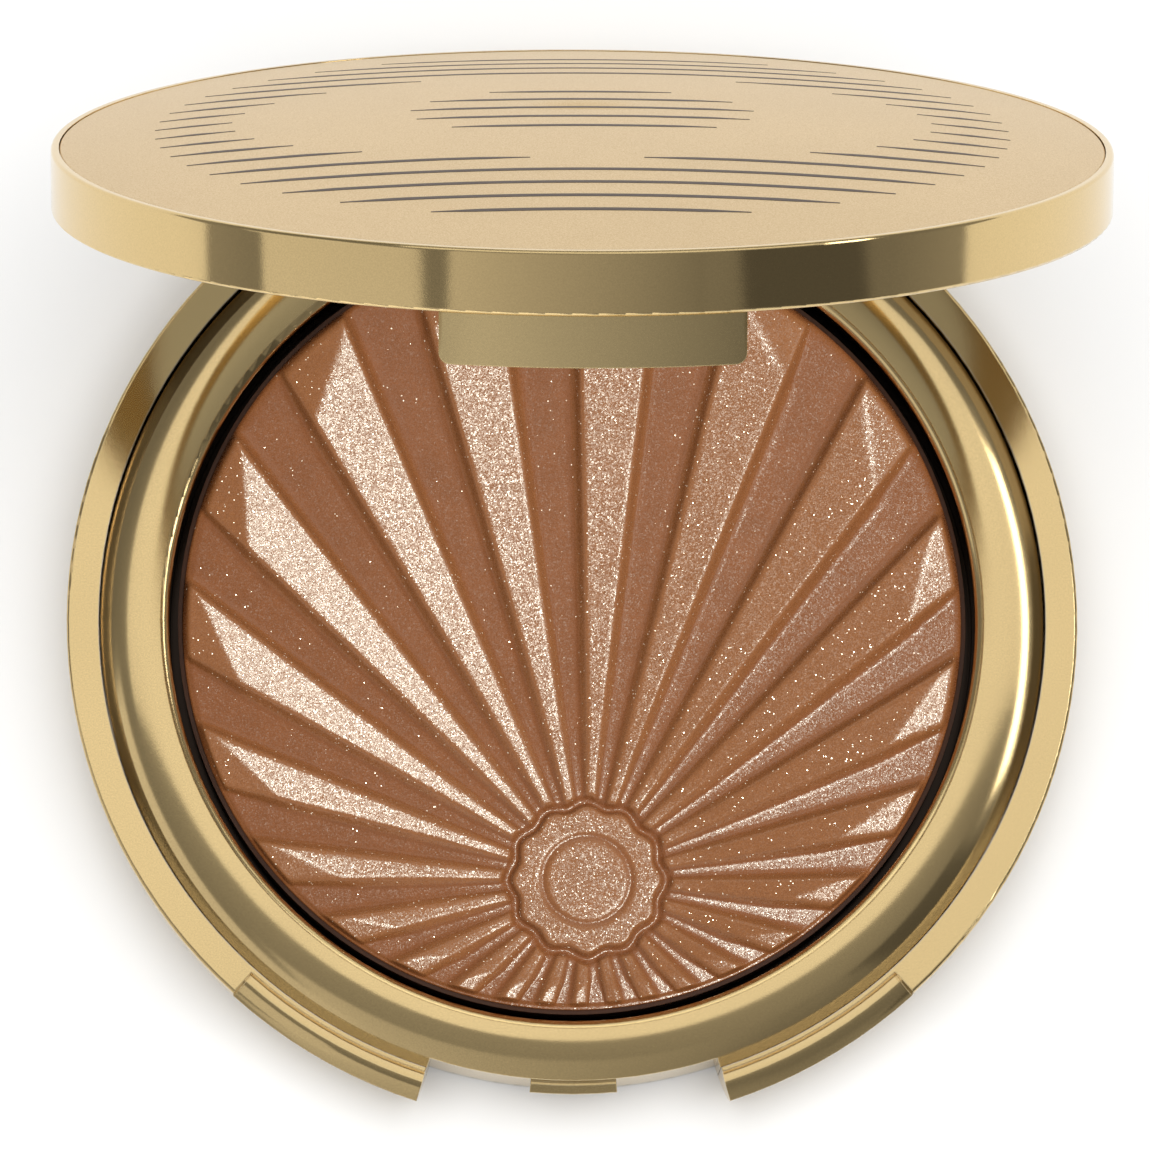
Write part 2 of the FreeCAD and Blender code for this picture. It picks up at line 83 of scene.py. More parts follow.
# Painted shade: the pan's dark brown stands in for the shade of the gap round the cake.
PAN_SHADE_BROWN = (0.082, 0.034, 0.017)
POWDER_BROWN = (0.200, 0.069, 0.0225)
POWDER_TAN = (0.250, 0.098, 0.034)
SHIMMER = (1.0, 0.88, 0.70)
PEARL_TINT = (0.97, 1.0, 0.90)
PIN_DARK, PIN_LIGHT = (0.52, 0.51, 0.50), (0.64, 0.63, 0.61)
SILVER, SILVER_DUSTY = (0.90, 0.92, 0.915), (0.80, 0.80, 0.79)
FILM_DARK, FILM_LIGHT = (0.72, 0.70, 0.62), (0.8, 0.78, 0.70)

# Where painted shade starts: the tray turns near-black in the gap round the pan, the shell greyer
# and darker down the bore that holds the tray, and the frame a darker gold on its side of the
# latch tab, which is measured from the hinge, for the frame's shaded underside that the ring
# mirrors.
GAP_RADIUS = 32.3 * MM
BORE_RADIUS = 37.56 * MM
TAB_FROM_HINGE = 78.9 * MM


# ---------------------------------------------------------------- camera, floor and light

def add_object(name, data):
    made = bpy.data.objects.new(name, data)
    bpy.context.scene.collection.objects.link(made)
    return made


def make_camera():
    turn = Matrix.Rotation(math.radians(CAMERA_AZIMUTH), 4, "Z")
    tilt = Matrix.Rotation(math.radians(90.0 - CAMERA_ELEVATION), 4, "X")
    roll = Matrix.Rotation(math.radians(CAMERA_ROLL), 4, "Z")
    aim = turn @ tilt @ roll
    away = aim.to_3x3() @ Vector((0.0, 0.0, CAMERA_DISTANCE))
    data = bpy.data.cameras.new("camera")
    data.lens = CAMERA_LENS
    data.sensor_width = SENSOR_WIDTH
    data.clip_start = CAMERA_NEAREST
    camera = add_object("camera", data)
    camera.matrix_world = Matrix.Translation(CAMERA_AIM + away) @ aim
    bpy.context.scene.camera = camera


def point_at(item, place, target, forward):
    """Stands item at place with its forward axis towards target."""
    facing = (Vector(target) - Vector(place)).to_track_quat(forward, "Y")
    item.matrix_world = Matrix.Translation(place) @ facing.to_matrix().to_4x4()


def softbox(name, place, target, size, radiance, colour=WHITE):
    """A soft rectangular light at place, facing target. Radiance 1 looks plain white."""
    width, height = size
    data = bpy.data.lights.new(name, "AREA")
    data.shape = "RECTANGLE"
    data.size = width
    data.size_y = height
    data.energy = radiance * math.pi * width * height
    data.color = colour
    light = add_object(name, data)
    point_at(light, place, target, "-Z")
    return light


def group(name, objects):
    made = bpy.data.collections.new(name)
    for item in objects:
        made.objects.link(item)
    return made


def only_on(light, objects):
    """Lets the light fall on these objects alone."""
    light.light_linking.receiver_collection = group(light.name + "_receivers", objects)


def make_lights(floor, powder, metals):
    """The powder's flakes are lit by a small, distant key at the right, and the floor by a wash of
    its own. The metal mirrors a wide box overhead, a strip at the right and a low box in front,
    which leaves out the base's shell and tray."""
    middle = (0.0, 0.0, 0.02)
    over_back, below_it = (0.12, 0.43, 0.80), (0.12, 0.43, 0.0)
    low_parts = [NODES["base_shell"], NODES["pan_tray"]]
    above_floor = [item for item in metals if item not in low_parts]

    key = softbox("key", (0.68, -0.22, 2.70), middle, (0.45, 0.45), radiance=122.0,
                  colour=KEY_WHITE)
    only_on(key, [powder])
    blockers = group("key_blockers", [powder, NODES["bezel_ring"]])
    key.light_linking.blocker_collection = blockers
    wash = softbox("floor_wash", (0.15, 0.15, 3.26), middle, (3.90, 3.90), radiance=3.0)
    only_on(wash, [floor])
    overhead = softbox("overhead", over_back, below_it, (1.35, 0.80), radiance=0.78)
    only_on(overhead, metals)
    strip = softbox("strip_right", (0.475, 0.085, 0.40), middle, (0.36, 0.10), radiance=4.8)
    only_on(strip, metals + [powder])
    front = softbox("front_low", (-0.12, -0.80, 0.12), middle, (1.10, 0.36), radiance=1.4)
    only_on(front, above_floor + [powder])


def flat_rectangle(name, half_width, half_height):
    mesh = bpy.data.meshes.new(name)
    corners = [
        (-half_width, -half_height, 0),
        (half_width, -half_height, 0),
        (half_width, half_height, 0),
        (-half_width, half_height, 0),
    ]
    mesh.from_pydata(corners, [], [(0, 1, 2, 3)])
    return add_object(name, mesh)


def fading_glow(name, left, right):
    """Plain light whose radiance goes from left to right across the card."""
    material = bpy.data.materials.new(name)
    material.use_nodes = True
    tree = material.node_tree
    tree.nodes.clear()
    glow = tree.nodes.new("ShaderNodeEmission")
    across = tree.nodes.new("ShaderNodeTexCoord")
    split = tree.nodes.new("ShaderNodeSeparateXYZ")
    fade = tree.nodes.new("ShaderNodeMapRange")
    fade.inputs["To Min"].default_value = right
    fade.inputs["To Max"].default_value = left
    out = tree.nodes.new("ShaderNodeOutputMaterial")
    tree.links.new(across.outputs["Generated"], split.inputs[0])
    tree.links.new(split.outputs["X"], fade.inputs["Value"])
    tree.links.new(fade.outputs["Result"], glow.inputs["Strength"])
    tree.links.new(glow.outputs[0], out.inputs["Surface"])
    material.cycles.emission_sampling = "NONE"
    return material


def card(name, place, target, size, left, right):
    """A flat studio card that only polished surfaces see. left and right are its radiance at its
    two sides, as seen by the object."""
    width, height = size
    plane = flat_rectangle(name, 0.5 * width, 0.5 * height)
    point_at(plane, place, target, "Z")
    plane.data.materials.append(fading_glow(name, left, right))
    plane.visible_camera = False
    plane.visible_diffuse = False
    plane.visible_shadow = False


def make_cards():
    middle = (0.0, 0.0, 0.05)
    card("panel_left", (-0.61, -0.35, 0.42), middle, (0.80, 0.44), left=0.88, right=0.68)
    card("panel_front", (-0.04, -0.60, 0.60), middle, (0.84, 0.62), left=0.68, right=0.24)
    card("flag_front_right", (0.55, -0.32, 0.30), middle, (0.21, 0.80), left=0.11, right=0.11)


# The greys of the studio, from the floor, at 0, to straight overhead, at 1.
STUDIO_GREYS = [(0.00, 0.34), (0.25, 0.24), (0.60, 0.22), (0.85, 0.30), (1.00, 0.36)]


def set_ramp(ramp, stops):
    """Sets a colour ramp to stops of (place, grey)."""
    elements = ramp.color_ramp.elements
    while len(elements) < len(stops):
        elements.new(1.0)
    for element, (at, grey) in zip(elements, stops):
        element.position = at
        element.color = (grey, grey, grey, 1.0)


def make_world():
    """A studio that is brightest overhead, dark above eye level, and plain white to the camera."""
    world = bpy.data.worlds.new("studio")
    bpy.context.scene.world = world
    world.use_nodes = True
    tree = world.node_tree
    tree.nodes.clear()
    out = tree.nodes.new("ShaderNodeOutputWorld")
    mix = tree.nodes.new("ShaderNodeMixShader")
    seen = tree.nodes.new("ShaderNodeBackground")
    seen.inputs["Color"].default_value = (*WHITE, 1.0)
    room = tree.nodes.new("ShaderNodeBackground")
    path = tree.nodes.new("ShaderNodeLightPath")
    place = tree.nodes.new("ShaderNodeTexCoord")
    split = tree.nodes.new("ShaderNodeSeparateXYZ")
    ramp = tree.nodes.new("ShaderNodeValToRGB")
    set_ramp(ramp, STUDIO_GREYS)
    tree.links.new(place.outputs["Generated"], split.inputs[0])
    tree.links.new(split.outputs["Z"], ramp.inputs[0])
    tree.links.new(ramp.outputs[0], room.inputs["Color"])
    tree.links.new(path.outputs["Is Camera Ray"], mix.inputs[0])
    tree.links.new(room.outputs[0], mix.inputs[1])
    tree.links.new(seen.outputs[0], mix.inputs[2])
    tree.links.new(mix.outputs[0], out.inputs["Surface"])


FLOOR_REACH = 1.2


def make_floor():
    floor = flat_rectangle("floor", FLOOR_REACH, FLOOR_REACH)
    finish = Finish("floor")
    finish.shader(FLOOR_WHITE, roughness=0.75)
    finish.bump(finish.noise(scale=900.0, detail=2.0), strength=0.02, distance=0.2 * MM)
    floor.data.materials.append(finish.material)
    return floor


# ---------------------------------------------------------------- finishes

class Finish:
    """One procedural material: a Principled shader, with short calls for the nodes that feed it.
    A noise's or a cell's scale is about how many of its features fit in a metre."""

    def __init__(self, name):
        self.material = bpy.data.materials.new(name)
        self.material.use_nodes = True
        self.tree = self.material.node_tree
        self.main = self.tree.nodes["Principled BSDF"]
        self.place = self.tree.nodes.new("ShaderNodeTexCoord").outputs["Object"]
        self.normal = None

    def node(self, kind, **settings):
        made = self.tree.nodes.new("ShaderNode" + kind)
        for name, value in settings.items():
            setattr(made, name, value)
        return made

    def feed(self, socket, value):
        """Links value to the socket when it is another node's socket, or else sets it."""
        if isinstance(value, bpy.types.NodeSocket):
            self.tree.links.new(value, socket)
        elif socket.type == "RGBA":
            socket.default_value = (*value, 1.0)
        else:
            socket.default_value = value

    def shader(self, colour, roughness, metallic=0.0, **sockets):
        self.feed(self.main.inputs["Base Color"], colour)
        self.feed(self.main.inputs["Roughness"], roughness)
        self.feed(self.main.inputs["Metallic"], metallic)
        for name, value in sockets.items():
            self.feed(self.main.inputs[name.replace("_", " ")], value)

    def noise(self, scale, detail=3.0, roughness=0.55, stretch=None):
        made = self.node("TexNoise")
        made.inputs["Scale"].default_value = scale
        made.inputs["Detail"].default_value = detail
        made.inputs["Roughness"].default_value = roughness
        self.feed(made.inputs["Vector"], self.stretched(stretch))
        return made.outputs["Fac"]

    def stretched(self, stretch):
        if stretch is None:
            return self.place
        mapping = self.node("Mapping")
        mapping.inputs["Scale"].default_value = stretch
        self.feed(mapping.inputs["Vector"], self.place)
        return mapping.outputs["Vector"]

    def cells(self, scale):
        """A random colour for each cell."""
        made = self.node("TexVoronoi", feature="F1")
        made.inputs["Scale"].default_value = scale
        self.feed(made.inputs["Vector"], self.place)
        return made.outputs["Color"]

    def attribute(self, name, output="Fac"):
        return self.node("Attribute", attribute_name=name).outputs[output]

    def math(self, operation, first, second):
        made = self.node("Math", operation=operation)
        self.feed(made.inputs[0], first)
        self.feed(made.inputs[1], second)
        return made.outputs[0]

    def vector(self, operation, first, second=(0.0, 0.0, 0.0), output="Vector"):
        """An operation on vectors. output is "Value" when its result is a number."""
        made = self.node("VectorMath", operation=operation)
        self.feed(made.inputs[0], first)
        self.feed(made.inputs[1], second)
        return made.outputs[output]

    def from_line(self, point, across):
        """Distance from the line through point, in metres. across is 1 on the axes that count."""
        away = self.vector("SUBTRACT", self.place, point)
        flat = self.vector("MULTIPLY", away, across)
        return self.vector("LENGTH", flat, output="Value")

    def span(self, value, low, high, out_low=0.0, out_high=1.0):
        """Carries low to high over to out_low to out_high, held at both ends."""
        made = self.node("MapRange")
        self.feed(made.inputs["Value"], value)
        made.inputs["From Min"].default_value = low
        made.inputs["From Max"].default_value = high
        made.inputs["To Min"].default_value = out_low
        made.inputs["To Max"].default_value = out_high
        return made.outputs["Result"]

    def blend(self, share, first, second):
        """From the first colour, at share 0, to the second, at 1."""
        made = self.node("Mix", data_type="RGBA")
        self.feed(made.inputs["Factor"], share)
        self.feed([i for i in made.inputs if i.name == "A" and i.type == "RGBA"][0], first)
        self.feed([i for i in made.inputs if i.name == "B" and i.type == "RGBA"][0], second)
        return [o for o in made.outputs if o.type == "RGBA"][0]

    def face(self, normal):
        """Makes this the normal that the shader and any later layer use."""
        self.normal = normal
        self.feed(self.main.inputs["Normal"], normal)

    def bump(self, height, strength, distance):
        """Adds a layer of relief over the layers before it."""
        made = self.node("Bump")
        made.inputs["Strength"].default_value = strength
        made.inputs["Distance"].default_value = distance
        self.feed(made.inputs["Height"], height)
        if self.normal is not None:
            self.feed(made.inputs["Normal"], self.normal)
        self.face(made.outputs["Normal"])

    def lean_by(self, name):
        """Leans the normals by a vector stored on the mesh's points."""
        lie = self.attribute(name, "Vector")
        self.face(self.vector("ADD", self.normal, lie))

    def tip_cells(self, cell_colour, amount):
        """Tips each cell's normal its own way, as flakes lie."""
        centred = self.vector("SUBTRACT", cell_colour, (0.5, 0.5, 0.5))
        tip = self.node("VectorMath", operation="SCALE")
        self.feed(tip.inputs[0], centred)
        self.feed(tip.inputs["Scale"], amount)
        tipped = self.vector("ADD", self.normal, tip.outputs[0])
        self.face(self.vector("NORMALIZE", tipped))

    def soft_edges(self, radius):
        """Rounds sharp edges in the shading. Comes before any bump. Returns a mask of the edges:
        the places where the rounded normal turns away from the flat one."""
        made = self.node("Bevel", samples=4)
        made.inputs["Radius"].default_value = radius
        self.face(made.outputs["Normal"])
        flat = self.node("NewGeometry").outputs["Normal"]
        agree = self.vector("DOT_PRODUCT", self.normal, flat, output="Value")
        return self.span(agree, low=1.0, high=0.93)


def shade(tone, share):
    return [share * part for part in tone]


def polished_gold(name, roughness, tone=GOLD, edge_tone=GOLD_PALE, inside=None):
    """Plated, polished metal: faint orange peel, a fine grain, haze in patches, and paler rubbed
    edges. inside gives (point, across, radius, tone): a painted shade, the darker tone that the
    metal has nearer to a line than radius. The line goes through point, and across is 1 on the
    axes it doesn't run along."""
    finish = Finish(name)
    edges = finish.soft_edges(0.12 * MM)
    haze = finish.noise(scale=70.0, detail=4.0)
    drift = finish.span(finish.noise(scale=35.0, detail=2.0), 0.35, 0.65)
    plated = finish.blend(drift, tone, shade(tone, 0.94))
    wear = finish.span(finish.noise(scale=400.0), 0.35, 0.6)
    rubbed = finish.math("MULTIPLY", edges, wear)
    grain = finish.span(finish.noise(scale=8000.0, detail=2.0, roughness=0.8), 0.3, 0.7)
    grained = finish.blend(grain, plated, shade(tone, 0.84))
    colour = finish.blend(rubbed, grained, edge_tone)
    # Painted shade: nearer to the line than radius, the colour turns to the darker shade tone.
    if inside:
        point, across, radius, painted_shade_tone = inside
        change = 0.1 * MM
        outside = finish.span(finish.from_line(point, across), radius - change, radius)
        colour = finish.blend(outside, painted_shade_tone, colour)
    rough = finish.span(haze, 0.35, 0.72, out_low=roughness, out_high=roughness + 0.05)
    finish.shader(colour, rough, metallic=1.0)
    orange_peel = finish.noise(scale=1600.0, detail=2.0)
    finish.bump(orange_peel, strength=0.04, distance=0.02 * MM)
    finish.bump(grain, strength=0.05, distance=0.01 * MM)
    return finish.material


def satin_gold():
    """The lid's top plate: bead-blasted to a very fine, even grain."""
    finish = Finish("satin_gold")
    finish.soft_edges(0.15 * MM)
    grain = finish.noise(scale=9000.0, detail=3.0, roughness=0.7)
    cloud = finish.span(finish.noise(scale=60.0, detail=3.0), 0.35, 0.65)
    base = finish.blend(cloud, SATIN_GOLD, shade(SATIN_GOLD, 0.95))
    colour = finish.blend(finish.span(grain, 0.38, 0.66), base, SATIN_GOLD_DARK)
    rough = finish.span(grain, 0.35, 0.7, out_low=0.34, out_high=0.46)
    finish.shader(colour, rough, metallic=1.0)
    finish.bump(grain, strength=0.30, distance=0.02 * MM)
    return finish.material


def inlay_brown():
    """The dark lines in the lid: a matt brown fill with a little tooth."""
    finish = Finish("inlay_brown")
    tooth = finish.noise(scale=7000.0, detail=2.0)
    colour = finish.blend(finish.span(tooth, 0.35, 0.7), LINE_BROWN, shade(LINE_BROWN, 1.5))
    rough = finish.span(tooth, 0.3, 0.7, out_low=0.45, out_high=0.6)
    finish.shader(colour, rough, metallic=0.35)
    finish.bump(tooth, strength=0.2, distance=0.01 * MM)
    return finish.material


# The pearl in the powder. A flake is stray where its own random number is above the level, which
# is lower on the beams, so that more glints show there.
FLAKES_PER_METRE = 12500.0
STRAY_ABOVE_IN_FIELD = 0.9985
STRAY_ABOVE_ON_BEAM = 0.994
FLAKE_TIP = 0.19
STRAY_TIP = 0.45


def pressed_powder():
    """Matt brown powder packed with pearl: its flakes lie along the relief, so they only shine
    where a face leans towards the light. A few stray flakes lie at any angle and glint alone."""
    finish = Finish("pressed_powder")
    coat = finish.attribute("pearl")
    body_grain = finish.noise(scale=5200.0, detail=4.0, roughness=0.75)
    clumps = finish.span(finish.noise(scale=420.0, detail=4.0), 0.3, 0.7)
    brown = finish.blend(clumps, POWDER_BROWN, shade(POWDER_BROWN, 1.15))
    tan = finish.blend(clumps, POWDER_TAN, shade(POWDER_TAN, 1.10))
    flakes = finish.cells(scale=FLAKES_PER_METRE)
    random = finish.node("SeparateColor")
    finish.feed(random.inputs[0], flakes)
    body = finish.blend(coat, brown, tan)
    mottled = finish.blend(random.outputs["Green"], shade(POWDER_BROWN, 0.80), body)
    level = finish.span(coat, 0.0, 1.0, STRAY_ABOVE_IN_FIELD, STRAY_ABOVE_ON_BEAM)
    stray = finish.math("GREATER_THAN", random.outputs["Red"], level)
    colour = finish.blend(stray, finish.blend(0.5, body, mottled), SHIMMER)
    rough = finish.span(random.outputs["Blue"], 0.0, 1.0, out_low=0.17, out_high=0.38)
    metallic = finish.math("MULTIPLY", stray, 0.30)
    finish.shader(colour, rough, metallic, Specular_Tint=PEARL_TINT)
    finish.bump(body_grain, strength=0.20, distance=0.03 * MM)
    finish.lean_by("lie")
    finish.tip_cells(flakes, finish.span(stray, 0.0, 1.0, FLAKE_TIP, STRAY_TIP))
    return finish.material


def pan_painted_shade():
    """Drawn metal in a dark brown that is painted shade: the pan's rim reads as the shaded border
    of the cake down in the gap. Draw marks run round the wall.
    """
    finish = Finish("pan_painted_shade")
    finish.soft_edges(0.08 * MM)
    drawn = finish.noise(scale=500.0, detail=3.0, stretch=(1.0, 1.0, 8.0))
    colour = finish.blend(finish.span(drawn, 0.3, 0.7), PAN_SHADE_BROWN, shade(PAN_SHADE_BROWN, 1.5))
    rough = finish.span(drawn, 0.3, 0.7, out_low=0.50, out_high=0.65)
    finish.shader(colour, rough, metallic=0.2)
    finish.bump(drawn, strength=0.1, distance=0.02 * MM)
    return finish.material


def pin_steel():
    """Steel with the marks of turning along the pin."""
    finish = Finish("pin_steel")
    turned = finish.noise(scale=300.0, detail=3.0, stretch=(20.0, 1.0, 1.0))
    colour = finish.blend(finish.span(turned, 0.3, 0.7), PIN_DARK, PIN_LIGHT)
    rough = finish.span(turned, 0.3, 0.7, out_low=0.22, out_high=0.36)
    finish.shader(colour, rough, metallic=1.0)
    finish.bump(turned, strength=0.12, distance=0.01 * MM)
    return finish.material


def mirror_glass():
    """Silvered glass with the faintest dust and wiping marks."""
    finish = Finish("mirror_glass")
    wiped = finish.noise(scale=60.0, detail=4.0, stretch=(1.0, 3.0, 3.0))
    dust = finish.span(finish.noise(scale=3000.0, detail=3.0, roughness=0.8), 0.68, 0.75)
    colour = finish.blend(dust, SILVER, SILVER_DUSTY)
    rough = finish.span(wiped, 0.40, 0.75, out_low=0.012, out_high=0.05)
    finish.shader(colour, rough, metallic=1.0)
    return finish.material


def adhesive_film():
    """The films that hold the pan and the mirror."""
    finish = Finish("adhesive_film")
    colour = finish.blend(finish.span(finish.noise(scale=500.0), 0.3, 0.7), FILM_DARK, FILM_LIGHT)
    rough = finish.span(finish.noise(scale=900.0), 0.3, 0.7, out_low=0.45, out_high=0.6)
    finish.shader(colour, rough)
    return finish.material


def dress(node, material):
    for holder in NODES[node].material_slots:
        holder.material = material


def dress_nodes():
    middle, upright, along_hinge = (0.0, 0.0, 0.0), (1.0, 1.0, 0.0), (0.0, 1.0, 1.0)
    # Painted shade: the shell's bore, the step between rim and crown, turns greyer and darker.
    bore = (middle, upright, BORE_RADIUS, BORE_PAINTED_SHADE)
    # Painted shade: the tray goes near-black in the gap round the pan, where shade falls.
    gap = (middle, upright, GAP_RADIUS, GAP_PAINTED_SHADE)
    # Painted shade: the frame is a darker gold up to the latch tab's tip, for its shaded
    # underside.
    frame_side = (HINGE["pos_m"], along_hinge, TAB_FROM_HINGE, FRAME_PAINTED_SHADE)
    dress("base_shell", polished_gold("gold_base", roughness=0.09, inside=bore))
    dress("pan_tray", polished_gold("gold_tray", roughness=0.12, inside=gap))
    dress("bezel_ring", polished_gold("gold_bezel", roughness=0.11))
    dress("lid_shell", polished_gold("gold_lid", roughness=0.06))
    dress("lid_frame", polished_gold("gold_frame", roughness=0.20, tone=GOLD_TAB, edge_tone=GOLD,
                                     inside=frame_side))
    dress("lid_top_plate", satin_gold())
    dress("powder_pan", pan_painted_shade())
    dress("hinge_pin", pin_steel())
    dress("mirror", mirror_glass())
    film = adhesive_film()
    dress("pan_glue", film)
    dress("mirror_pad", film)


# ---------------------------------------------------------------- pressed powder

# The beams are raised rays that spread from RAY_CENTRE over a plain field, FIELD_DROP below the
# cake's box. A beam climbs as it goes out, and its top is cut across by a facet before the rim.
FIELD_DROP = 0.28 * MM
RAY_CENTRE = (1.1 * MM, -20.6 * MM)
BEAM_COUNT = 24
BEAM_FIRST = math.radians(3.0)
BEAM_HALF = math.radians(4.05)
BEAM_RISE = 0.36 * MM
BEAM_CLIMB = 0.022
BEAM_FROM = 3.0 * MM
BEAM_FULL = 20.0 * MM
EDGE_SOFT = 0.46 * MM
EDGE_SHARE = 0.55
TIP_SHORT = 0.9 * MM
HEEL_SHORT = 5.4 * MM
HEEL_SHARE = 0.22
FACET_SLOPE = 0.20

# The round emblem at the ray centre: a scalloped disc with one ring cut in it and a groove round
# it. The groove's walls are placed in shares of its width.
EMBLEM_RADIUS = 5.6 * MM
EMBLEM_RISE = 0.34 * MM
EMBLEM_EDGE = (0.1 * MM, 0.28 * MM)
SCALLOPS = 12
SCALLOP_DEPTH = 0.22 * MM
RING_PLACE = 0.62
RING_WIDTH = 0.22 * MM
RING_DEPTH = 0.16 * MM
GROOVE_WIDTH = 0.85 * MM
GROOVE_DEPTH = 0.30 * MM
GROOVE_INNER_WALL = 0.45
GROOVE_OUTER_WALL = (0.6, 1.3)

# The plain border at the cake's rim.
BORDER = 0.55 * MM
BORDER_FLAT = 0.15 * MM
BORDER_DROP = 0.12 * MM

# The coat of pearl starts and is full at these shares of BEAM_RISE. Its flakes lean towards the
# ray centre on the beams' tops, and away from it in the field.
PEARL_FROM = 0.12
PEARL_FULL = 0.75
PEARL_ON_RING = 0.2
TOP_LEAN = 0.15
FIELD_LEAN = 0.08
CUT_CHANGE = (-0.1 * MM, 0.2 * MM)

# The mesh: rings of points on spokes. CROWDING draws the spokes together at the beams' edges.
INNER_ZONE = 7.0 * MM
INNER_RINGS = 44
OUTER_RINGS = 112
SPOKES_PER_BEAM = 26
CROWDING = 0.72


def smooth(value, low, high):
    """0 below low and 1 above high, with an eased change between them."""
    share = min(1.0, max(0.0, (value - low) / (high - low)))
    return share * share * (3.0 - 2.0 * share)


def spoke_angles():
    """Angles from +Y, clockwise, closer together along both edges of each beam."""
    period = 2.0 * math.pi / BEAM_COUNT
    angles = []
    for index in range(BEAM_COUNT * SPOKES_PER_BEAM):
        turn = index / SPOKES_PER_BEAM
        turn += CROWDING * math.sin(4.0 * math.pi * turn) / (4.0 * math.pi)
        angles.append(BEAM_FIRST + turn * period)
    return angles


def reach_to_rim(angle, radius):
    """Distance from the ray centre to the powder's rim along a spoke."""
    x, y = RAY_CENTRE
    along = x * math.sin(angle) + y * math.cos(angle)
    return -along + math.sqrt(along * along - (x * x + y * y) + radius * radius)


def beam_at(angle):
    """The middle angle of the nearest beam, between -pi and pi."""
    period = 2.0 * math.pi / BEAM_COUNT
    middle = BEAM_FIRST + round((angle - BEAM_FIRST) / period) * period
    return math.remainder(middle, 2.0 * math.pi)


def on_spoke(distance, angle):
    """A point given from the ray centre."""
    return Vector((distance * math.sin(angle), distance * math.cos(angle)))


def cut_ends(middle, radius):
    """The two ends of the line across a beam where its top stops, as points from the ray centre.
    The end on the side of the hinge comes nearly to the rim, and the other one stops short."""
    back_edge = middle - math.copysign(BEAM_HALF, middle)
    front_edge = middle + math.copysign(BEAM_HALF, middle)
    tip = reach_to_rim(back_edge, radius) - TIP_SHORT
    reach = reach_to_rim(front_edge, radius)
    heel = reach - min(HEEL_SHORT, HEEL_SHARE * reach)
    return on_spoke(tip, back_edge), on_spoke(heel, front_edge)


def beam_height(distance, angle, radius):
    """How far the beam stands above the field here, and how far this is past its cut end."""
    middle = beam_at(angle)
    offset = math.remainder(angle - middle, 2.0 * math.pi)
    half_width = distance * math.sin(BEAM_HALF)
    inside = distance * math.sin(BEAM_HALF - abs(offset))
    soft = min(EDGE_SOFT, EDGE_SHARE * half_width)
    rise = BEAM_RISE * smooth(distance, BEAM_FROM, BEAM_FULL) ** 0.5 + BEAM_CLIMB * distance
    top = rise * smooth(inside, -soft, soft)
    tip, heel = cut_ends(middle, radius)
    along = (heel - tip).normalized()
    out = Vector((-along.y, along.x))
    if out.dot(tip) < 0:
        out = -out
    beyond = (on_spoke(distance, angle) - tip).dot(out)
    drop = FACET_SLOPE * max(0.0, beyond)
    return max(0.0, top - drop), beyond


def powder_height(distance, angle, rim, radius):
    """Height above the plain field, how thick the coat of pearl is, and how far its flakes lean
    towards the ray centre."""
    emblem_edge = EMBLEM_RADIUS + SCALLOP_DEPTH * math.cos(SCALLOPS * angle)
    groove_ends, field_starts = (emblem_edge + share * GROOVE_WIDTH for share in GROOVE_OUTER_WALL)
    past_groove = smooth(distance, groove_ends, field_starts)
    beam, beyond = beam_height(distance, angle, radius)
    height = beam * past_groove
    pearl = smooth(height, PEARL_FROM * BEAM_RISE, PEARL_FULL * BEAM_RISE)

    groove_bottom = emblem_edge + GROOVE_INNER_WALL * GROOVE_WIDTH
    groove = smooth(distance, emblem_edge, groove_bottom) * (1.0 - past_groove)
    inner, outer = EMBLEM_EDGE
    raised = 1.0 - smooth(distance, emblem_edge - inner, emblem_edge + outer)
    height += raised * EMBLEM_RISE - groove * GROOVE_DEPTH
    ring = math.exp(-(((distance - RING_PLACE * EMBLEM_RADIUS) / RING_WIDTH) ** 2))
    height -= RING_DEPTH * ring
    pearl = max(pearl, raised * (1.0 - (1.0 - PEARL_ON_RING) * ring))

    border = 1.0 - smooth(rim - distance, BORDER_FLAT, BORDER)
    height = height * (1.0 - border) - BORDER_DROP * border
    pearl *= 1.0 - border
    before_cut = pearl * (1.0 - smooth(beyond, *CUT_CHANGE))
    lean = before_cut * TOP_LEAN - (1.0 - pearl) * FIELD_LEAN
    return height, pearl, lean * smooth(distance, EMBLEM_RADIUS, 2.0 * EMBLEM_RADIUS)


def ring_distance(ring, rim):
    """How far a ring of points is from the ray centre, on a spoke that is rim long."""
    if ring <= INNER_RINGS:
        return INNER_ZONE * ring / INNER_RINGS
    return INNER_ZONE + (rim - INNER_ZONE) * (ring - INNER_RINGS) / OUTER_RINGS


def disc_faces(rings, count):
    """Faces of a closed disc: a middle point, rings of count points each, and a last point."""
    faces = [(0, 1 + k, 1 + (k + 1) % count) for k in range(count)]
    for ring in range(rings - 1):
        start, after = 1 + ring * count, 1 + (ring + 1) * count
        for k in range(count):
            following = (k + 1) % count
            faces.append((start + k, after + k, after + following, start + following))
    last = 1 + (rings - 1) * count
    below = 1 + rings * count
    faces += [(last + k, below, last + (k + 1) % count) for k in range(count)]
    return faces


